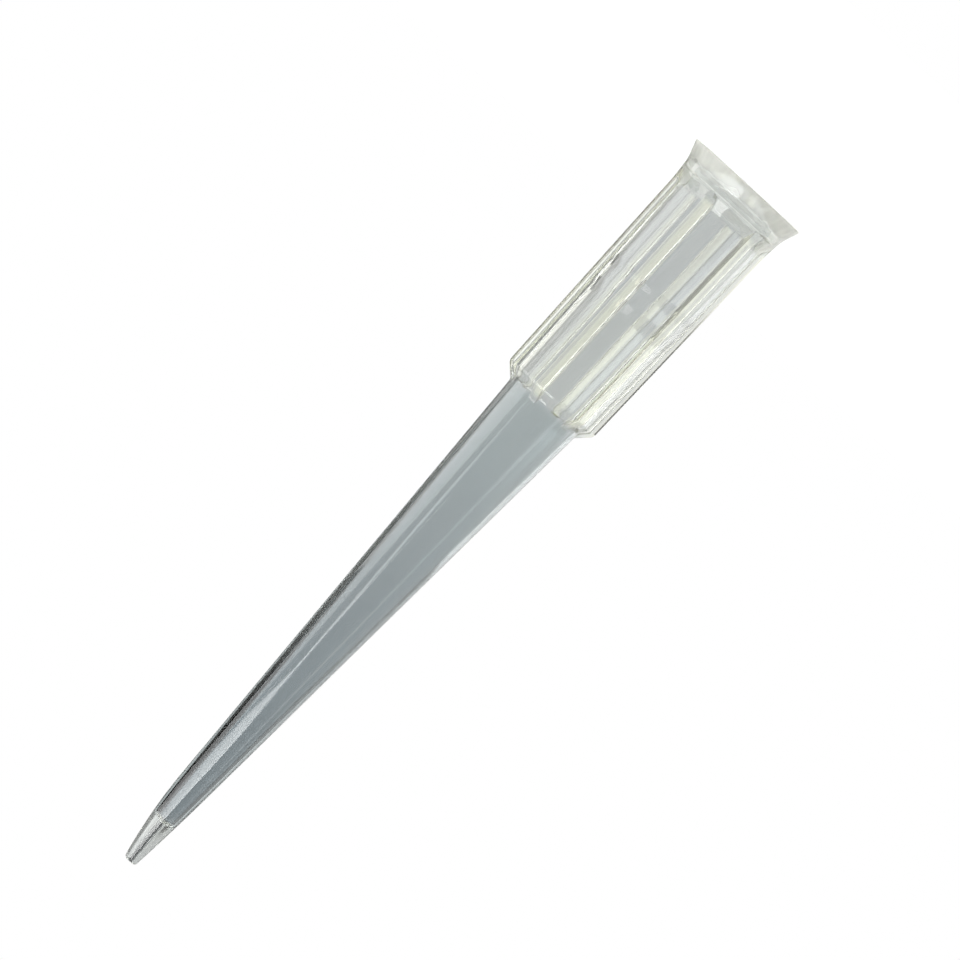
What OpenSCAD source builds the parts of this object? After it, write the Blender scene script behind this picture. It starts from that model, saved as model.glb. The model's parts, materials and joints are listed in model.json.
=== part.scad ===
// Pipette tip for 200 microlitres, moulded in one shot of natural polypropylene.
// It stands on its rim with the mouth down. +Z runs along the axis from the rim's
// face (z = 0) to the end of the nose, and the ribs start at +X.

/* [Length] */
// Length from the rim's face to the end of the nose
tip_len = 51; // [48:0.5:54]
// Length of the collar, from the rim's face to the lower ends of its ribs
collar_len = 16.9; // [15:0.1:19]
// Length of the nose, over which the end of the cone rounds off
nose_len = 5.8; // [4.8:0.1:6.4]

/* [Rim] */
// Radius of the flared rim at its face
rim_r = 3.9; // [3.8:0.05:4.2]
// Height of the flare
flare_h = 1.2; // [0.9:0.1:1.4]
// Radius of the mouth at the rim's face
mouth_r = 3.6; // [3.4:0.05:3.7]
// Depth of the funnel inside the mouth
funnel_h = 0.85; // [0.6:0.05:1.1]

/* [Collar] */
// Radius of the plain band between the flare and the ribs
band_r = 3.47; // [3.42:0.01:3.55]
// Height of the plain band
band_h = 0.5; // [0.3:0.1:0.7]
// Height of the slope from the band down to the wall
band_slope_h = 0.7; // [0.5:0.1:0.9]
// Radius over the ribs where they leave the band
rib_top_r = 3.42; // [3.35:0.01:3.46]
// Radius over the ribs above their chamfered lower ends
rib_low_r = 3.22; // [3.15:0.01:3.35]
// Height of a rib above the wall
rib_h = 0.34; // [0.2:0.02:0.4]
// Width of a rib
rib_w = 0.66; // [0.4:0.02:0.9]
// Number of ribs, an even number
rib_count = 6; // [4:2:12]

/* [Socket] */
// Radius of the socket just inside the funnel
socket_top_r = 2.78; // [2.74:0.01:2.84]
// Radius of the socket above the seal land
socket_low_r = 2.68; // [2.64:0.01:2.72]
// Radius of the seal land that grips the pipette's nozzle
land_r = 2.58; // [2.54:0.01:2.62]
// Length of the seal land
land_len = 0.95; // [0.8:0.05:1.2]
// Distance of the seal land from the rim's face
land_z = 8.35; // [7.8:0.05:9]

/* [Cone] */
// Radius of the chamber right below the seal land
chamber_top_r = 2.45; // [2.4:0.01:2.5]
// Radius of the chamber at the bottom of the collar
chamber_low_r = 2.32; // [2.26:0.01:2.36]
// Outer radius of the cone where it leaves the collar
cone_top_r = 2.45; // [2.4:0.01:2.5]
// Outer radius of the cone where the nose starts
cone_low_r = 1.01; // [0.95:0.01:1.06]
// Wall of the cone where it leaves the collar
cone_top_wall = 0.23; // [0.2:0.01:0.35]
// Wall of the cone where the nose starts
cone_low_wall = 0.35; // [0.3:0.01:0.42]

/* [Nose] */
// Outer radius of the nose at its end
nose_r = 0.39; // [0.3:0.01:0.45]
// Radius of the channel that leads out of the nose
channel_r = 0.13; // [0.1:0.01:0.2]
// Length of the channel
channel_len = 2.8; // [2.2:0.1:3.4]
// Height over which the bore closes to the channel
throat_h = 0.25; // [0.2:0.05:0.6]

/* [Hidden] */
$fn = 96;
over = 1;

// Heights up the outside, from the rim's face
band_z = flare_h + band_h;
rib_top_z = band_z + band_slope_h;
rib_chamfer = rib_low_r - cone_top_r;
rib_low_z = collar_len - rib_chamfer;
sink_z = collar_len + 0.1;
nose_z = tip_len - nose_len;

// The collar's wall, between the ribs, and the slope from it to the cone
wall_top_r = rib_top_r - rib_h;
wall_low_r = rib_low_r - rib_h;
shoulder_z = rib_low_z + wall_low_r - cone_top_r;

// Heights up the inside: slopes lead into the seal land and out of it
land_lead = 0.55;
land_exit = 0.78;
land_end_z = land_z + land_len;
chamber_z = land_end_z + land_exit;
chamber_low_z = rib_low_z;
cone_bore_z = collar_len + 0.2;
channel_z = tip_len - channel_len;
throat_z = channel_z - throat_h;

// The cone loses cone_slope of its radius over each millimetre of height. The nose starts
// at that slope and steepens evenly, so it rounds off in a parabola.
cone_slope = (cone_top_r - cone_low_r) / (nose_z - shoulder_z);
nose_drop = cone_slope * nose_len;
nose_steps = 12;

// Outer radius of the cone at height z
function cone_r(z) = cone_top_r - cone_slope * (z - shoulder_z);

// The bore narrows evenly from just below the collar, past the start of the nose
bore_top_r = cone_r(cone_bore_z) - cone_top_wall;
bore_slope = (bore_top_r - cone_low_r + cone_low_wall) / (nose_z - cone_bore_z);

// Radius of the bore at height z
function bore_r(z) = bore_top_r - bore_slope * (z - cone_bore_z);

// Outer radius of the nose at a fraction u of its length
function nose_curve_r(u) =
    cone_low_r - nose_drop * u - (cone_low_r - nose_drop - nose_r) * u * u;

// Everything inside the collar's wall, the cone and the nose, as one turned solid
module outer_wall() {
    rotate_extrude()
        polygon([
            [0, 0], [rim_r, 0], [band_r, flare_h], [band_r, band_z],
            [wall_top_r, rib_top_z], [wall_low_r, rib_low_z],
            [cone_top_r, shoulder_z],
            for (i = [0 : nose_steps])
                [nose_curve_r(i / nose_steps), nose_z + nose_len * i / nose_steps],
            [0, tip_len]
        ]);
}

// The turned shape that the ribs fill, chamfered at about 45 degrees at their lower ends.
// The chamfer meets the cone at collar_len and runs on inside its wall to sink_z.
module rib_envelope() {
    end_r = cone_r(collar_len);
    chamfer_slope = (rib_low_r - end_r) / (collar_len - rib_low_z);
    rotate_extrude()
        polygon([
            [0, band_z], [band_r, band_z], [rib_top_r, rib_top_z], [rib_low_r, rib_low_z],
            [end_r - chamfer_slope * (sink_z - collar_len), sink_z], [0, sink_z]
        ]);
}

// Straight ribs down the collar: each plate crosses the axis and makes two of them
module ribs() {
    intersection() {
        rib_envelope();
        for (i = [0 : rib_count / 2 - 1])
            rotate(i * 360 / rib_count)
                translate([-rim_r, -rib_w / 2, band_z - over])
                    cube([2 * rim_r, rib_w, collar_len - band_z + 2 * over]);
    }
}

// The whole way through: funnel, socket, seal land, chamber, cone bore and channel
module way_through() {
    funnel_slope = (mouth_r - socket_top_r) / funnel_h;
    rotate_extrude()
        polygon([
            [0, -over], [mouth_r + funnel_slope * over, -over],
            [socket_top_r, funnel_h], [socket_low_r, land_z - land_lead],
            [land_r, land_z], [land_r, land_end_z], [chamber_top_r, chamber_z],
            [chamber_low_r, chamber_low_z], [bore_top_r, cone_bore_z],
            [bore_r(throat_z), throat_z], [channel_r, channel_z],
            [channel_r, tip_len + over], [0, tip_len + over]
        ]);
}

module pipette_tip() {
    color([0.83, 0.86, 0.86, 0.6])
        difference() {
            union() {
                outer_wall();
                ribs();
            }
            way_through();
        }
}

pipette_tip();
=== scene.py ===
# %% [markdown]
# # A clear pipette tip
#
# A pipette tip is a small hollow cone that is pushed onto a pipette's nozzle, filled, emptied
# and thrown away. It is one injection moulding of natural polypropylene: a ribbed collar that
# grips the nozzle, a slender cone that holds the liquid, and a fine nose.
#
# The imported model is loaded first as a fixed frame. It stands on its rim with the nose up, in
# metres, and the moulding that is made here may not leave its box.

# %% Load the frame
import json
import math

import bmesh
import bpy
from mathutils import Matrix, Vector


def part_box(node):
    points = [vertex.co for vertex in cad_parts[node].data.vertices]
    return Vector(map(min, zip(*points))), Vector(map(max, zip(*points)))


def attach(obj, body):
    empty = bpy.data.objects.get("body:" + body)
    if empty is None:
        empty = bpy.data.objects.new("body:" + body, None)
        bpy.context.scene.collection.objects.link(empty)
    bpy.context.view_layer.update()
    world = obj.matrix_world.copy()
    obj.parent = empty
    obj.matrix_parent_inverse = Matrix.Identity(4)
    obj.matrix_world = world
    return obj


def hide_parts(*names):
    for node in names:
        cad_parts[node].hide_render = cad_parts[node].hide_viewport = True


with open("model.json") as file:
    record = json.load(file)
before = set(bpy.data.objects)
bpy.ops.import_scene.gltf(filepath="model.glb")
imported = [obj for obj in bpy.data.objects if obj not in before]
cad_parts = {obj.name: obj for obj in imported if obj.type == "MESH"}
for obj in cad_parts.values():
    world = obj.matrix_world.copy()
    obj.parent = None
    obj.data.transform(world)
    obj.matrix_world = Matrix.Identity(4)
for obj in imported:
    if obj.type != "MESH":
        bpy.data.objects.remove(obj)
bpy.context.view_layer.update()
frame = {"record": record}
low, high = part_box("pipette_tip")
print("the tip is", round((high[2] - low[2]) * 1000, 1), "mm long")

# %% [markdown]
# ## Sizes
#
# Every size of the tip is a named value in millimetres, and heights are always measured from
# the rim's face. The length and the rim come from the frame, and so does the seal land, the
# short true cylinder in the socket that grips the nozzle: the record states it as a mount.

# %% Read and name the sizes
MM = 0.001
socket = next(m for m in frame["record"]["mounts"] if m["name"] == "nozzle_socket")

tip_len = (high[2] - low[2]) / MM
rim_r = max(high[0], high[1]) / MM
land_r = socket["dims"]["r_mm"]
land_len = socket["dims"]["length_mm"]
land_z = socket["pos_m"][2] / MM - land_len / 2

# the collar's outside, from the rim up
flare_h, band_h, band_slope_h = 1.2, 0.5, 0.7
band_r = 3.47
rib_count = 6
rib_w, rib_h = 0.66, 0.34
rib_top_r, rib_low_r = 3.42, 3.22
collar_len = 16.9

# the collar's inside, from the mouth up
mouth_r, funnel_h = 3.6, 0.85
socket_top_r, socket_low_r = 2.78, 2.68
land_lead, land_exit = 0.55, 0.78
chamber_top_r, chamber_low_r = 2.45, 2.32

# the cone and the nose
cone_top_r, cone_low_r = 2.45, 1.01
cone_top_wall, cone_low_wall = 0.23, 0.35
nose_len, nose_r = 5.8, 0.39
channel_r, channel_len, throat_h = 0.13, 2.8, 0.25

# heights and radii that follow from them
band_z = flare_h + band_h
rib_top_z = band_z + band_slope_h
rib_low_z = collar_len - (rib_low_r - cone_top_r)
wall_top_r, wall_low_r = rib_top_r - rib_h, rib_low_r - rib_h
shoulder_z = rib_low_z + wall_low_r - cone_top_r
land_end_z = land_z + land_len
chamber_z = land_end_z + land_exit
lead_z = land_z - land_lead
chamber_low_z, bore_z = rib_low_z, collar_len + 0.2
nose_z = tip_len - nose_len
channel_z = tip_len - channel_len
throat_z = channel_z - throat_h
print("ribs from", round(rib_top_z, 2), "to", round(collar_len, 2), "mm above the rim")

# %% [markdown]
# ## Helpers for modelling by hand
#
# Operators act on what is selected. So each step first selects by place, as one would with a
# box select, and then moves, turns or scales the selection about the tip's axis.

# %% Selection and ring helpers
def deselect_all():
    bpy.ops.object.select_all(action="DESELECT")


def radius_of(co):
    return math.hypot(co.x, co.y) / MM


def select_where(piece, test, kind="VERT"):
    """Selects, in edit mode, the vertices or the edges whose every end passes the test."""
    bpy.ops.mesh.select_mode(type=kind)
    bpy.ops.mesh.select_all(action="DESELECT")
    shape = bmesh.from_edit_mesh(piece.data)
    if kind == "VERT":
        for v in shape.verts:
            v.select = test(v.co)
    else:
        for e in shape.edges:
            e.select = all(test(v.co) for v in e.verts)
    shape.select_flush_mode()
    bmesh.update_edit_mesh(piece.data)


def selected_radii(piece):
    shape = bmesh.from_edit_mesh(piece.data)
    return [radius_of(v.co) for v in shape.verts if v.select]


def extrude_by(step):
    """Extrudes the selection along a step given in metres."""
    bpy.ops.mesh.extrude_region_move(TRANSFORM_OT_translate={"value": step})


def scale_ring(k, z):
    bpy.ops.transform.resize(value=(k, k, 1), center_override=(0, 0, z * MM))


def round_ring(piece, r, z):
    """Makes the selected ring a circle of radius r."""
    bpy.ops.transform.tosphere(value=1, center_override=(0, 0, z * MM))
    radii = selected_radii(piece)
    scale_ring(r * len(radii) / sum(radii), z)


def climb(piece, stations, start_z):
    """Extrudes the selected circle through (height, radius) stations."""
    z = start_z
    for next_z, r in stations:
        extrude_by((0, 0, (next_z - z) * MM))
        round_ring(piece, r, next_z)
        z = next_z


print("helpers ready")

# %% [markdown]
# ## The collar's section
#
# Seen along the axis, the collar is a circle with straight ribs. One sixth of that outline is
# drawn as on a drawing board: a point at the middle of a rib is spun round the axis to the
# rib's corner, extruded down to the wall, spun along the wall, and extruded up the next rib.
# An operator's spin turns clockwise about its axis, so the axis given here points down.

# %% Draw the section with its ribs
pitch = 2 * math.pi / rib_count
crest_half = math.asin(rib_w / 2 / rib_top_r)
root_half = math.asin(rib_w / 2 / wall_top_r)
crest_steps, wall_steps = 3, 14
AXIS = dict(center=(0, 0, 0), axis=(0, 0, -1))


def at(r, angle):
    return Vector((r * math.cos(angle), r * math.sin(angle), 0)) * MM


def spin_on(angle, steps):
    bpy.ops.mesh.spin(steps=steps, angle=angle, **AXIS)


def start_at(name, place):
    """A new piece in edit mode that is one selected point."""
    deselect_all()
    bpy.ops.mesh.primitive_plane_add(size=MM, location=(0, 0, 0))
    piece = bpy.context.object
    piece.name = name
    bpy.ops.object.mode_set(mode="EDIT")
    bpy.ops.mesh.select_mode(type="VERT")
    bpy.ops.mesh.select_all(action="SELECT")
    bpy.ops.mesh.merge(type="CENTER")
    bpy.ops.transform.translate(value=place)
    return piece


tip = start_at("tip_moulding", (rib_top_r * MM, 0, rib_top_z * MM))
spin_on(crest_half, crest_steps)
extrude_by(at(wall_top_r, root_half) - at(rib_top_r, crest_half))
spin_on(pitch - 2 * root_half, wall_steps)
extrude_by(at(rib_top_r, pitch - crest_half) - at(wall_top_r, pitch - root_half))
spin_on(crest_half, crest_steps)
print("one rib pitch is", round(math.degrees(pitch)), "degrees")

# %% [markdown]
# That sixth is copied round the axis and the copies' ends are merged, which closes the
# outline. Then the sharp corners of the ribs are rounded: a small radius where a rib meets
# the wall, and a larger one along its crest. Rounded edges matter more on clear plastic than
# on anything else, because each one bends the light and draws a bright or dark line.

# %% Close the section and round its corners
crest_radius, root_radius, corner_steps = 0.25, 0.09, 4
near = 0.01  # a point this close to a place, in millimetres, is at it


def angle_from_rib(co):
    turn = math.atan2(co.y, co.x) % pitch
    return min(turn, pitch - turn)


def is_corner(r, half):
    def test(co):
        return abs(radius_of(co) - r) < near and abs(angle_from_rib(co) - half) < near / r

    return test


bpy.ops.mesh.select_all(action="SELECT")
bpy.ops.mesh.spin(
    steps=rib_count - 1, dupli=True, angle=pitch * (rib_count - 1), **AXIS
)
bpy.ops.mesh.select_all(action="SELECT")
bpy.ops.mesh.remove_doubles(threshold=near * MM)
for r, half, rounding in (
    (rib_top_r, crest_half, crest_radius),
    (wall_top_r, root_half, root_radius),
):
    select_where(tip, is_corner(r, half))
    print("rounding", len(selected_radii(tip)), "corners")
    bpy.ops.mesh.bevel(affect="VERTICES", offset=rounding * MM, segments=corner_steps)
shape = bmesh.from_edit_mesh(tip.data)
print("the section has", len(shape.verts), "points and", len(shape.edges), "edges")

# %% [markdown]
# ## The moulding, ring by ring
#
# The section is extruded up the collar and tapers as it goes, as every moulded part does so
# that it leaves its mould. At the shoulder the ribs run out in a slope of 45 degrees, so
# there the rib tops and the wall are scaled by different amounts.

# %% Raise the ribbed collar
def on_ring(z, r_from=0, r_to=rim_r + near):
    """A test for the points at height z whose radius lies between two others."""

    def test(co):
        return abs(co.z / MM - z) < near and r_from < radius_of(co) < r_to

    return test


rib_shoulder_r = rib_low_r - (shoulder_z - rib_low_z)
ribbed = (
    (rib_low_z, wall_low_r, rib_low_r),
    (shoulder_z, cone_top_r, rib_shoulder_r),
)
z, wall_r, rib_r = rib_top_z, wall_top_r, rib_top_r
bpy.ops.mesh.select_all(action="SELECT")
for next_z, next_wall_r, next_rib_r in ribbed:
    extrude_by((0, 0, (next_z - z) * MM))
    scale_ring(next_wall_r / wall_r, next_z)
    rib_r *= next_wall_r / wall_r
    select_where(tip, on_ring(next_z, (rib_r + next_wall_r) / 2))
    scale_ring(next_rib_r / rib_r, next_z)
    select_where(tip, on_ring(next_z))
    z, wall_r, rib_r = next_z, next_wall_r, next_rib_r
    print("collar ring at", round(z, 2), "mm, ribs out to", round(rib_r, 2), "mm")

# %% [markdown]
# Three short formulas give the radii above the shoulder: the cone narrows evenly, the nose
# starts at the cone's slope and rounds off in a parabola, and the bore narrows evenly too, a
# little faster than the cone, so that the wall thickens towards the nose.

# %% The curves of the cone, the nose and the bore
cone_slope = (cone_top_r - cone_low_r) / (nose_z - shoulder_z)
nose_drop = cone_slope * nose_len
nose_steps = 12


def cone_r(height):
    """The cone's outer radius at a height."""
    return cone_top_r - cone_slope * (height - shoulder_z)


def nose_curve_r(u):
    """The nose's outer radius at a fraction u of its length."""
    return cone_low_r - nose_drop * u - (cone_low_r - nose_drop - nose_r) * u * u


bore_top_r = cone_r(bore_z) - cone_top_wall
bore_slope = (bore_top_r - cone_low_r + cone_low_wall) / (nose_z - bore_z)


def bore_r(height):
    """The bore's radius at a height."""
    return bore_top_r - bore_slope * (height - bore_z)


throat_r = bore_r(throat_z)
print("the bore narrows from", round(bore_top_r, 2), "to", round(throat_r, 2), "mm radius")

# %% [markdown]
# The ring is pulled to a circle with To Sphere and climbs the cone, turns over the end of the
# nose, and comes down inside: first the narrow channel, then the bore, the chamber, the seal
# land and the socket. A skin that closes on itself gives the wall its true thickness, which
# refraction needs.

# %% Climb the cone, turn over the nose and come down inside
mid_nose_z = (nose_z + throat_z) / 2
outside = [(collar_len, cone_r(collar_len)), (nose_z, cone_low_r)]
outside += [
    (nose_z + nose_len * i / nose_steps, nose_curve_r(i / nose_steps))
    for i in range(1, nose_steps + 1)
]
inside = [
    (tip_len, channel_r),
    (tip_len - channel_len / 2, channel_r),
    (channel_z, channel_r),
    (throat_z, throat_r),
    (mid_nose_z, bore_r(mid_nose_z)),
    (nose_z, bore_r(nose_z)),
    (bore_z, bore_top_r),
    (chamber_low_z, chamber_low_r),
    (chamber_z, chamber_top_r),
    (land_end_z, land_r),
    (land_z, land_r),
    (lead_z, socket_low_r),
    (funnel_h, socket_top_r),
    (0, mouth_r),
]
climb(tip, outside + inside, z)
print("climbed", len(outside), "rings outside and", len(inside), "inside")

# %% [markdown]
# The rim is made last, downwards from the first ring: the slope to the plain band, the band
# itself and the flare. Its edge and the mouth's edge then face each other at the rim's face,
# and Bridge Edge Loops closes the skin between them. A shell without open edges is what tells
# the renderer where the plastic starts and ends.

# %% Come down the outside of the rim and close the skin
select_where(tip, on_ring(rib_top_z))
climb(tip, [(band_z, band_r), (flare_h, band_r), (0, rim_r)], rib_top_z)
select_where(tip, on_ring(0), "EDGE")
bpy.ops.mesh.bridge_edge_loops()
bpy.ops.mesh.select_all(action="SELECT")
bpy.ops.mesh.normals_make_consistent(inside=False)
shape = bmesh.from_edit_mesh(tip.data)
print("volume", round(shape.calc_volume(signed=True) / MM**3, 1), "mm3;",
      "open edges", sum(not e.is_manifold for e in shape.edges))

# %% [markdown]
# ## Rounded edges
#
# Each ring where the slope changes gets the small radius that a polished mould leaves there,
# with a bevel of a few segments. The rings are picked by height and radius, one at a time, so
# each can have its own radius: soft at the flare, fine at the channel's end.

# %% Round the rings
def round_edge(piece, z, r_low, r_high, offset, segments):
    """Bevels the ring at height z whose radii lie between r_low and r_high."""
    select_where(piece, on_ring(z, r_low - near, r_high + near), "EDGE")
    bpy.ops.mesh.bevel(offset=offset * MM, segments=segments, profile=0.5)


cone_start_r = cone_r(collar_len)
outer_edges = (
    (0, rim_r, rim_r, 0.1, 3),
    (flare_h, band_r, band_r, 0.4, 5),
    (band_z, band_r, band_r, 0.12, 3),
    (rib_top_z, wall_top_r, rib_top_r, 0.15, 3),
    (rib_low_z, wall_low_r, rib_low_r, 0.15, 3),
    (shoulder_z, cone_top_r, rib_shoulder_r, 0.12, 3),
    (collar_len, cone_start_r, cone_start_r, 0.1, 3),
    (tip_len, nose_r, nose_r, 0.2, 4),
)
inner_edges = (
    (tip_len, channel_r, channel_r, 0.03, 2),
    (channel_z, channel_r, channel_r, 0.06, 3),
    (throat_z, throat_r, throat_r, 0.12, 4),
    (bore_z, bore_top_r, bore_top_r, 0.3, 4),
    (chamber_low_z, chamber_low_r, chamber_low_r, 0.3, 4),
    (chamber_z, chamber_top_r, chamber_top_r, 0.15, 3),
    (land_end_z, land_r, land_r, 0.1, 3),
    (land_z, land_r, land_r, 0.1, 3),
    (lead_z, socket_low_r, socket_low_r, 0.15, 3),
    (funnel_h, socket_top_r, socket_top_r, 0.2, 4),
    (0, mouth_r, mouth_r, 0.1, 3),
)
for edge in outer_edges + inner_edges:
    round_edge(tip, *edge)
bpy.ops.mesh.select_all(action="SELECT")
bpy.ops.mesh.normals_make_consistent(inside=False)
print("rounded", len(outer_edges + inner_edges), "rings")

# %% [markdown]
# ## A nose that leans a little
#
# The plastic is thickest round the channel and sets there last, so a moulded nose seldom
# stays quite straight. Here it bends off the axis by a fifth of a millimetre, along a
# parabola so that it leaves the cone without a kink. The channel's points are marked in an
# attribute before it bends, and the material reads that later: once they have moved, a
# distance from the axis no longer finds them.

# %% Mark the channel and lean the nose
lean, lean_z = 0.2, 45.5
lean_azimuth = math.radians(191.9)
channel_from_z, channel_within_r = channel_z - 0.1, 0.2
lean_way = Vector((math.cos(lean_azimuth), math.sin(lean_azimuth), 0))
shape = bmesh.from_edit_mesh(tip.data)
in_channel = shape.verts.layers.float.new("channel")
for v in shape.verts:
    height = v.co.z / MM
    v[in_channel] = float(height > channel_from_z and radius_of(v.co) < channel_within_r)
    if height > lean_z:
        u = (height - lean_z) / (tip_len - lean_z)
        v.co += lean_way * lean * MM * u * u
bmesh.update_edit_mesh(tip.data)
print("channel points:", sum(v[in_channel] > 0 for v in shape.verts))

# %% [markdown]
# ## Shading and the tie to the frame
#
# Smooth shading lets light bend evenly, and weighted normals keep the long plain faces
# straight, so that only the rounded strips bend it strongly. Then the moulding takes the
# place of the imported solid and rides on the same body.

# %% Finish the moulding
bpy.ops.object.mode_set(mode="OBJECT")
bpy.ops.object.shade_smooth()
bpy.ops.object.modifier_add(type="WEIGHTED_NORMAL")
straighten = tip.modifiers[-1]
straighten.keep_sharp = True
straighten.weight = 90
bpy.ops.object.modifier_apply(modifier=straighten.name)
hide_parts("pipette_tip")
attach(tip, "root")
print("the moulding has", len(tip.data.polygons), "faces")

# %% [markdown]
# ## Helpers for materials
#
# Colours are written as sRGB hex, as one reads them off a colour chart, and one function
# turns them to the linear values that a renderer counts in. A second function adds a node:
# what it is given is a value for a socket, a link for a socket, or a setting of the node.

# %% Material helpers
def srgb(code):
    """An sRGB hex colour as linear RGBA."""
    parts = [int(code[i : i + 2], 16) / 255 for i in (1, 3, 5)]
    return [p / 12.92 if p <= 0.04045 else ((p + 0.055) / 1.055) ** 2.4 for p in parts] + [1]


def add(tree, kind, given=None):
    """Adds a node with its settings, its sockets' values and the links into it."""
    node = tree.nodes.new(kind)
    for name, value in (given or {}).items():
        if isinstance(value, bpy.types.NodeSocket):
            tree.links.new(value, node.inputs[name])
        elif isinstance(name, int) or name in node.inputs:
            node.inputs[name].default_value = value
        else:
            setattr(node, name, value)
    return node


def new_material(name):
    """A material without nodes, and its tree."""
    material = bpy.data.materials.new(name)
    material.use_nodes = True
    material.node_tree.nodes.clear()
    return material, material.node_tree


def set_stops(ramp, stops):
    """Gives a colour ramp its (height in mm, colour) stops."""
    points = ramp.color_ramp.elements
    while len(points) < len(stops):
        points.new(0.5)
    for point, (height, _) in zip(points, stops):
        point.position = height / tip_len
    for point, (_, colour) in zip(points, stops):
        point.color = colour


WHITE, BLACK = srgb("#FFFFFF"), srgb("#000000")
print("mid grey is", round(srgb("#808080")[0], 3), "in linear light")

# %% [markdown]
# ## Natural polypropylene
#
# Undyed polypropylene is clear with a slight grey tint, and each wall takes a little light
# away.
# Here the grey is partly that tint and partly painted shade, so that the thin cone looks like
# smoked glass on a white bench, and it is painted darker where the cone narrows and the light
# crosses it more steeply. The collar and the solid end of the nose are lighter, and the rim is
# painted nearly white: painted light against the shade that the floor puts under it. A ramp
# along the height, read from object coordinates, gives that colour.
# A refracting surface uses the square root of its base colour, because light crosses a thin
# wall twice.

# %% Polypropylene: the tint and its painted shade along the tip
plastic, tree = new_material("natural polypropylene, injection moulded")
place = add(tree, "ShaderNodeTexCoord")
axes = add(tree, "ShaderNodeSeparateXYZ", {"Vector": place.outputs["Object"]})
across, beyond, above = axes.outputs
along = add(
    tree, "ShaderNodeMapRange", {"From Min": 0.0, "From Max": tip_len * MM, "Value": above}
)
# the grey is partly the plastic's own tint and partly painted shade that darkens towards the
# nose; the near-white stops at the rim are painted light
tint_painted_shade_and_light_stops = (
    (0.0, srgb("#F6F8FA")),
    (0.7, srgb("#F6F8FA")),
    (1.2, srgb("#D8DBDD")),
    (16.6, srgb("#D8DBDD")),
    (17.0, srgb("#C8CFD1")),
    (32.0, srgb("#B7BEC2")),
    (46.0, srgb("#ABB2B6")),
    (47.8, srgb("#ABB2B6")),
    (48.3, srgb("#BABEC1")),
)
tint_painted_shade_and_light = add(tree, "ShaderNodeValToRGB", {"Fac": along.outputs["Result"]})
set_stops(tint_painted_shade_and_light, tint_painted_shade_and_light_stops)
print("the cast has", len(tint_painted_shade_and_light_stops), "stops")

# %% [markdown]
# The ribs are solid plastic from the wall out, and light that enters one runs along it, so
# they look paler and warmer than the wall between them. That light is painted into their
# colour: painted light. A mask finds them by their angle round the axis: Arctan2 gives the
# angle, and Ping-Pong folds it so that it counts up from zero at every rib. Two more ranges
# end the mask at the band and at the shoulder. All the ranges are smooth steps, so that no
# hard line is painted where the shape has none.

# %% Polypropylene: painted light on the ribs
rib_core, rib_edge = math.radians(4.5), math.radians(6.5)
ribs_end_z, ribs_full_z = shoulder_z + 0.2, shoulder_z - 0.3
band_fade = 0.5
turn_round = add(
    tree, "ShaderNodeMath", {"operation": "ARCTAN2", 0: beyond, 1: across}
).outputs[0]
from_rib = add(
    tree, "ShaderNodeMath", {"operation": "PINGPONG", 0: turn_round, 1: pitch / 2}
).outputs[0]
rib_ranges = (
    (from_rib, rib_edge, rib_core),
    (above, ribs_end_z * MM, ribs_full_z * MM),
    (above, (rib_top_z - band_fade) * MM, rib_top_z * MM),
)
# the mask of the ribs' painted light: a paler, warmer colour laid on the ribs
rib_painted_light_mask = 1.0
for value, none_at, full_at in rib_ranges:
    step = add(
        tree,
        "ShaderNodeMapRange",
        {
            "interpolation_type": "SMOOTHSTEP",
            "Value": value,
            "From Min": none_at,
            "From Max": full_at,
        },
    )
    rib_painted_light_mask = add(
        tree,
        "ShaderNodeMath",
        {"operation": "MULTIPLY", 0: rib_painted_light_mask, 1: step.outputs["Result"]},
    ).outputs[0]
print("ribs are masked", round(math.degrees(rib_edge), 1), "degrees to each side")

# %% [markdown]
# The channel in the nose is the opposite of a rib: a dark thread, because its steep wall
# throws the light aside, and that shade is painted into its colour as painted shade. Its mask
# is the attribute that was marked on the mesh. A Mix node lays each colour over the one
# before it where its mask is one.

# %% Polypropylene: the tint with its painted light and shade
# the mask of the channel's painted shade: a dark colour laid in the channel
channel_painted_shade_mask = add(
    tree, "ShaderNodeAttribute", {"attribute_name": "channel"}
).outputs["Fac"]
# painted light on the ribs and painted shade in the channel, laid over the tint
overlays = ((rib_painted_light_mask, srgb("#FFFFF4")), (channel_painted_shade_mask, srgb("#3C4246")))
full_tint_painted_shade_and_light = tint_painted_shade_and_light.outputs["Color"]
for mask, colour in overlays:
    full_tint_painted_shade_and_light = add(
        tree,
        "ShaderNodeMix",
        {"data_type": "RGBA", "Factor": mask, 6: full_tint_painted_shade_and_light, 7: colour},
    ).outputs[2]
print("the cast has", len(overlays), "overlays")

# %% [markdown]
# Polypropylene is never quite as clear as glass: tiny crystals scatter part of the light,
# which softens the black edges that a perfectly clear tube would have. That haze is strongest
# at the rim, weak along the collar and the cone, none where the cone is thinnest, and a
# little again in the thick nose. The plastic flowed lengthwise as it filled the mould, so a
# noise that is drawn out that way varies the haze in streaks a millimetre wide and several
# long.

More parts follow.
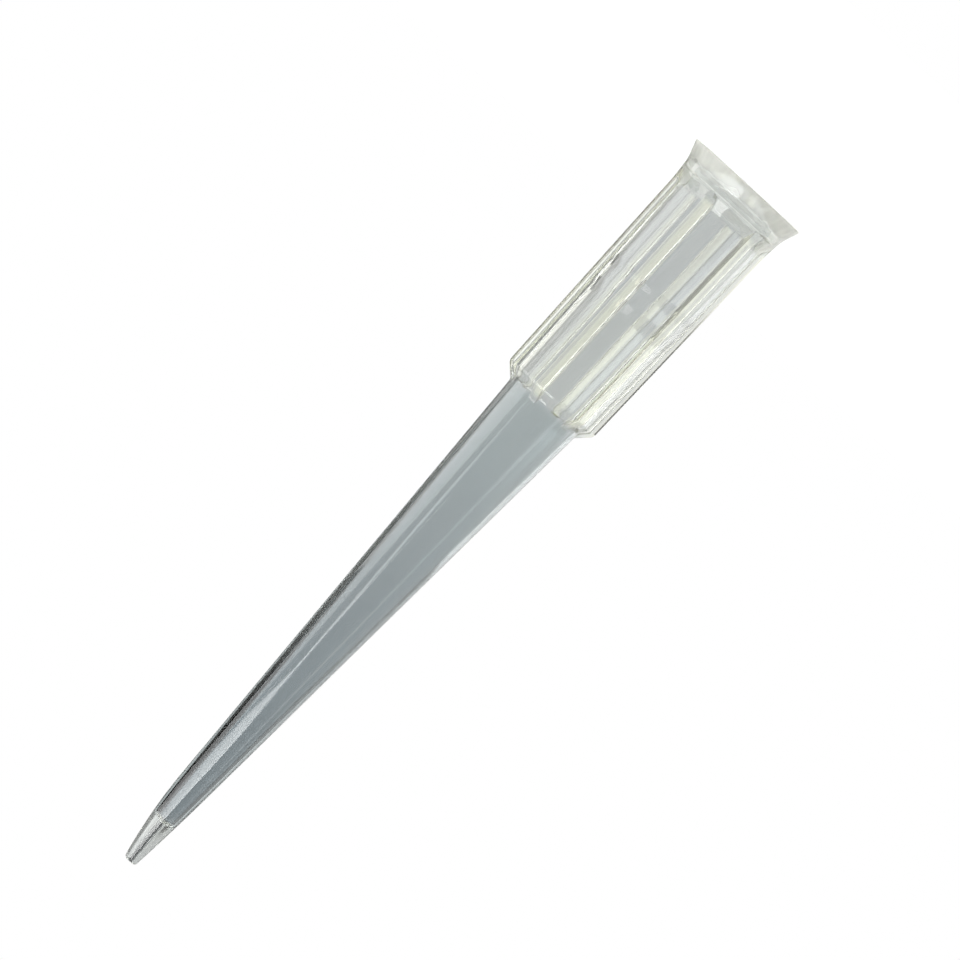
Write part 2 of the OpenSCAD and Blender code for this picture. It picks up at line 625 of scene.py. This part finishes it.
# %% Polypropylene: haze and its flow streaks
haze_stops = (
    (0.0, 0.40),
    (0.7, 0.30),
    (1.1, 0.10),
    (17.0, 0.10),
    (32.0, 0.08),
    (39.0, 0.03),
    (47.0, 0.0),
    (48.4, 0.12),
)
streak_width, streak_length, streak_share = 1.0, 6.0, 0.3
noise_low, noise_high = 0.3, 0.7
haze = add(tree, "ShaderNodeValToRGB", {"Fac": along.outputs["Result"]})
set_stops(haze, [(height, (level, level, level, 1)) for height, level in haze_stops])
drawn_out = add(
    tree,
    "ShaderNodeMapping",
    {"Vector": place.outputs["Object"], "Scale": (1, 1, streak_width / streak_length)},
)
streaks = add(
    tree,
    "ShaderNodeTexNoise",
    {"Vector": drawn_out.outputs[0], "Scale": 1 / (streak_width * MM), "Detail": 2.0},
)
flow = add(
    tree,
    "ShaderNodeMapRange",
    {
        "Value": streaks.outputs["Fac"],
        "From Min": noise_low,
        "From Max": noise_high,
        "To Min": 1 - streak_share,
        "To Max": 1 + streak_share,
    },
)
print("the haze is up to", max(level for _, level in haze_stops), "strong")

# %% [markdown]
# The haze shows more where one looks along the wall instead of through it, which Layer Weight
# tells. What it looks like is a mix of a translucent shader, for light that comes through it,
# and a diffuse one, for light that it sends back.

# %% Polypropylene: the haze's share and its shader
back_share = 0.4
edgewise = add(tree, "ShaderNodeLayerWeight", {"Blend": 0.5})
share = add(
    tree, "ShaderNodeMath", {"operation": "ADD", 0: edgewise.outputs["Facing"], 1: 1.0}
).outputs[0]
for factor in (haze.outputs["Color"], flow.outputs["Result"]):
    share = add(
        tree, "ShaderNodeMath", {"operation": "MULTIPLY", 0: share, 1: factor}
    ).outputs[0]
milk = srgb("#F5F5F3")
through = add(tree, "ShaderNodeBsdfTranslucent", {"Color": milk})
back_again = add(tree, "ShaderNodeBsdfDiffuse", {"Color": milk})
cloud = add(
    tree,
    "ShaderNodeMixShader",
    {"Fac": back_share, 1: through.outputs["BSDF"], 2: back_again.outputs["BSDF"]},
)
print("the haze sends", round(100 * back_share), "% of its light back")

# %% [markdown]
# The clear part of the mix refracts. Its gloss is that of a polished mould, its index of
# refraction is the one tables give for polypropylene, and a faint absorption in its volume
# turns thick places slightly warm.

# %% Polypropylene: gloss and body
clear = add(
    tree,
    "ShaderNodeBsdfPrincipled",
    {"Base Color": full_tint_painted_shade_and_light, "Roughness": 0.06, "IOR": 1.49, "Transmission Weight": 1.0},
)
surface = add(
    tree,
    "ShaderNodeMixShader",
    {"Fac": share, 1: clear.outputs["BSDF"], 2: cloud.outputs["Shader"]},
)
body = add(
    tree, "ShaderNodeVolumeAbsorption", {"Color": srgb("#FCFFD2"), "Density": 110.0}
)
add(
    tree,
    "ShaderNodeOutputMaterial",
    {"Surface": surface.outputs["Shader"], "Volume": body.outputs["Volume"]},
)
tip.data.materials.clear()
tip.data.materials.append(plastic)
print("material:", plastic.name)

# %% [markdown]
# ## The white surroundings
#
# The world lights the tip at a plain level. Rays that come from the camera, or that the
# plastic reflects or refracts, see it at full white instead, so the bench looks white beside
# the tip and through it, without any more light falling on it.

# %% World
def seen_directly(tree):
    """1 for rays from the camera, a reflection or a refraction, and 0 for the others."""
    rays = add(tree, "ShaderNodeLightPath").outputs
    either = rays["Is Camera Ray"]
    for other in (rays["Is Glossy Ray"], rays["Is Transmission Ray"]):
        either = add(
            tree, "ShaderNodeMath", {"operation": "MAXIMUM", 0: either, 1: other}
        ).outputs[0]
    return either


world_level = 0.5
world = bpy.data.worlds.new("white studio")
bpy.context.scene.world = world
world.use_nodes = True
sky = world.node_tree
sky.nodes.clear()
plain = add(sky, "ShaderNodeBackground", {"Color": WHITE, "Strength": world_level})
full = add(sky, "ShaderNodeBackground", {"Color": WHITE, "Strength": 1.0})
choice = add(
    sky,
    "ShaderNodeMixShader",
    {"Fac": seen_directly(sky), 1: plain.outputs[0], 2: full.outputs[0]},
)
add(sky, "ShaderNodeOutputWorld", {"Surface": choice.outputs[0]})
bpy.context.scene.view_settings.view_transform = "Standard"
print("the world lights the tip at", world_level)

# %% [markdown]
# ## The camera
#
# A long lens from far away shows the tip without perspective. It looks level at the tip's
# side and is rolled, so that the tip lies across the view with its nose at the lower left and
# its rim at the upper right.

# %% Camera
view_azimuth, roll = math.radians(11.9), math.radians(137.31)
frame_width = 53.45 * MM
aim_right, aim_up = 2.373 * MM, 2.347 * MM

back = Vector((math.sin(view_azimuth), -math.cos(view_azimuth), 0))
side = Vector((math.cos(view_azimuth), math.sin(view_azimuth), 0))
up = Vector((0, 0, 1))
cam_right = math.cos(roll) * side - math.sin(roll) * up
cam_up = math.sin(roll) * side + math.cos(roll) * up
aim = up * tip_len / 2 * MM + cam_right * aim_right + cam_up * aim_up

lens = bpy.data.cameras.new("long_lens")
lens.lens, lens.sensor_width = 1200, 36  # in millimetres, and the clipping in metres
lens.clip_start, lens.clip_end = 0.01, 5
distance = frame_width * lens.lens / lens.sensor_width
camera = bpy.data.objects.new("camera", lens)
bpy.context.scene.collection.objects.link(camera)
bpy.context.scene.camera = camera
camera.rotation_mode = "QUATERNION"
camera.rotation_quaternion = Matrix((cam_right, cam_up, back)).transposed().to_quaternion()
camera.location = aim + back * distance
print("the camera stands", round(distance, 2), "m away")

# %% [markdown]
# ## Lamps
#
# Clear plastic shows its surroundings more than its own colour, so each lamp is placed for
# the line or the sheen that it draws. Turns are counted round the tip from the camera's
# direction. A soft box on one side gives the cone its pale flank, a low one on the other
# brightens the collar most, and narrow or weak ones fill in. A lamp's power follows from the
# brightness that its face should have, which keeps that independent of its size. The lamps'
# sizes and places are in metres.

# %% Lamps
def around(turn, distance, z):
    """A place round the tip in metres, turned from the camera's direction to the side."""
    a = math.radians(turn)
    return (back * math.cos(a) + side * math.sin(a)) * distance + up * z


def lamp(name, turn, width, low_z, high_z, radiance):
    """A rectangular lamp that faces the tip's axis."""
    height = high_z - low_z
    data = bpy.data.lights.new(name, "AREA")
    data.shape = "RECTANGLE"
    data.size, data.size_y = width, height
    data.energy = radiance * math.pi * width * height
    light = bpy.data.objects.new(name, data)
    bpy.context.scene.collection.objects.link(light)
    light.location = around(turn, lamp_distance, (low_z + high_z) / 2)
    away = around(turn, 1, 0)
    light.rotation_mode = "QUATERNION"
    light.rotation_quaternion = (
        Matrix((up.cross(away), up, away)).transposed().to_quaternion()
    )
    print(name, "at", turn, "degrees, radiance", radiance)


lamp_distance = 0.3
box_width, fill_width, strip_width = 0.3, 0.22, 0.05
tall = (-0.125, 0.175)
lamp("soft_left", 90, box_width, *tall, 2.0)
lamp("strip_right", -53, strip_width, *tall, 1.2)
lamp("collar_right", -90, box_width, 0.0, 0.035, 1.8)
lamp("fill_behind", -140, fill_width, *tall, 0.4)
lamp("low_fill_behind", -140, fill_width, 0.0, 0.017, 0.8)

# %% [markdown]
# ## Cards
#
# Where a dark line is wanted along clear plastic, a studio puts a black card where the wall
# of the tube looks: behind the tip and to one side. One large card far behind does it for the
# cone's whole edge, and a narrower one below it for the collar's. Two small ones stand close
# to the lower cone, whose thicker wall looks further round: a black one on that side and a
# grey one on the other. Nearly straight behind the collar, a narrow card is brighter than the
# white round it: the ribs on the far side bend the view that way and look whiter. The cards
# are part of the stage, and their distances and heights are in metres too. Each is an upright
# line that is spun round the tip's axis.

# %% Cards
def glow(name, colour, strength):
    """A material that shows one colour, whatever light falls on it."""
    material, tree = new_material(name)
    shown = add(tree, "ShaderNodeEmission", {"Color": colour, "Strength": strength})
    add(tree, "ShaderNodeOutputMaterial", {"Surface": shown.outputs[0]})
    return material


def put_on_stage(piece, material):
    """Only reflections and refractions show the piece, and it casts no shadow."""
    piece.data.materials.append(material)
    piece.visible_camera = False
    piece.visible_shadow = False
    piece.visible_diffuse = False


GREY = srgb("#AAAAAA")
far, close = 0.5, 0.06
card_steps = 12
cards = (
    ("card_behind", 114, 166, far, 0.04, 0.3, BLACK, 1.0),
    ("card_behind_collar", 148, 166, far, 0.0, 0.04, BLACK, 1.0),
    ("card_near_left", 97, 122, close, 0.034, 0.08, BLACK, 1.0),
    ("card_near_right", -150, -110, close, 0.03, 0.08, GREY, 1.0),
    ("card_bright_behind", -177.5, -174, far, 0.0, 0.022, WHITE, 1.6),
)
for name, turn_a, turn_b, distance, low_z, high_z, colour, strength in cards:
    card = start_at(name, around(turn_a, distance, low_z))
    extrude_by(up * (high_z - low_z))
    bpy.ops.mesh.select_all(action="SELECT")
    spin_on(math.radians(turn_b - turn_a), card_steps)
    bpy.ops.object.mode_set(mode="OBJECT")
    put_on_stage(card, glow(name, colour, strength))
    print(name, "covers", turn_b - turn_a, "degrees")

# %% [markdown]
# ## The bright ribbon
#
# One crisp white line runs down the cone. It is the reflection of a narrow bright strip in
# front of the tip. A point of a round wall that lies off the middle reflects what stands at
# twice its own turn, so the strip is a ribbon that follows the line: it swings towards the
# camera as it rises, and widens at the nose, where the line spreads into a band. The cone's
# slope sends the reflection upwards, so the ribbon sits higher than the line it draws.
#
# It starts as a straight strip: an upright line of short steps, spun once. Each of its rows
# is then moved to its own turn, width and height. Where it is wide it fades towards its outer
# edge, so that the band it draws ends softly. The fade is stored on its points as a level.
# Its heights are in millimetres, its widths and turns in degrees, and its distance in metres.

# %% Ribbon
line_from, line_to = (19.0, 0.874), (43.6, 0.095)
ribbon_from, ribbon_to, ribbon_rows = 14.0, 56.0, 16
ribbon_distance = 0.1
narrow, wide = 7.0, 84.0
widen_from, widen_to, widen_swing = 38.0, 45.0, 29.0
faint_edge = 0.4
rise, nose_rise, nose_rise_from = 10.0, 6.0, 47.0


def ribbon_place(height, edge):
    """The place and the level of the ribbon's edge, -1 or 1, for a height of the line."""
    k = (height - line_from[0]) / (line_to[0] - line_from[0])
    off = max(line_from[1] + (line_to[1] - line_from[1]) * k, line_to[1])
    turn = 2 * math.degrees(math.asin(off / cone_r(min(height, nose_z))))
    spread = min(max((height - widen_from) / (widen_to - widen_from), 0), 1)
    turn += widen_swing * spread + edge * (narrow + (wide - narrow) * spread) / 2
    z = height + rise + max(0, height - nose_rise_from) * nose_rise
    level = 1 - (1 - faint_edge) * spread * max(edge, 0)
    return around(turn, ribbon_distance, z * MM), level


ribbon = start_at("bright_ribbon", around(0, ribbon_distance, ribbon_from * MM))
for _ in range(ribbon_rows):
    extrude_by(up * (ribbon_to - ribbon_from) * MM / ribbon_rows)
bpy.ops.mesh.select_all(action="SELECT")
spin_on(math.radians(narrow), 1)
shape = bmesh.from_edit_mesh(ribbon.data)
on_points = shape.verts.layers.float.new("level")
for v in shape.verts:
    v.co, v[on_points] = ribbon_place(v.co.z / MM, 1 if v.co.dot(side) > MM else -1)
bmesh.update_edit_mesh(ribbon.data)
bpy.ops.object.mode_set(mode="OBJECT")
print("the ribbon is", round(ribbon.dimensions.z * 1000), "mm tall")

# %% [markdown]
# The ribbon glows more strongly towards its top, because the line that it draws there is
# spread over a narrower nose. The strength is multiplied by the level on the points.

# %% Ribbon's glow
dim_z, bright_z = 29.0, 56.0
dim, bright = 3.0, 9.0
glowing, tree = new_material("glowing ribbon")
place = add(tree, "ShaderNodeTexCoord")
axes = add(tree, "ShaderNodeSeparateXYZ", {"Vector": place.outputs["Object"]})
strength = add(
    tree,
    "ShaderNodeMapRange",
    {
        "Value": axes.outputs["Z"],
        "From Min": dim_z * MM,
        "From Max": bright_z * MM,
        "To Min": dim,
        "To Max": bright,
    },
)
level = add(tree, "ShaderNodeAttribute", {"attribute_name": "level"}).outputs["Fac"]
faded = add(
    tree,
    "ShaderNodeMath",
    {"operation": "MULTIPLY", 0: strength.outputs["Result"], 1: level},
)
shown = add(tree, "ShaderNodeEmission", {"Color": WHITE, "Strength": faded.outputs[0]})
add(tree, "ShaderNodeOutputMaterial", {"Surface": shown.outputs[0]})
put_on_stage(ribbon, glowing)
print("material:", glowing.name)

# %% [markdown]
# ## The floor
#
# The tip stands on matt white paper. The paper is a plain pale grey-white to the lamps, and
# glows a little for rays that see it directly, so that it is as white as the world behind it
# and still keeps the tip's soft shadow.

# %% Floor
floor_r, floor_corners, paper_glow = 0.6, 96, 0.52
deselect_all()
bpy.ops.mesh.primitive_circle_add(
    vertices=floor_corners, radius=floor_r, fill_type="NGON", location=(0, 0, 0)
)
floor = bpy.context.object
floor.name = "paper_floor"
paper, tree = new_material("matt white paper")
own_light = add(
    tree, "ShaderNodeMath", {"operation": "MULTIPLY", 0: seen_directly(tree), 1: paper_glow}
)
sheet = add(
    tree,
    "ShaderNodeBsdfPrincipled",
    {
        "Base Color": srgb("#F2F2F0"),
        "Roughness": 0.8,
        "Emission Color": WHITE,
        "Emission Strength": own_light.outputs[0],
    },
)
add(tree, "ShaderNodeOutputMaterial", {"Surface": sheet.outputs["BSDF"]})
floor.data.materials.append(paper)
print("the floor is", round(2 * floor_r, 1), "m across")
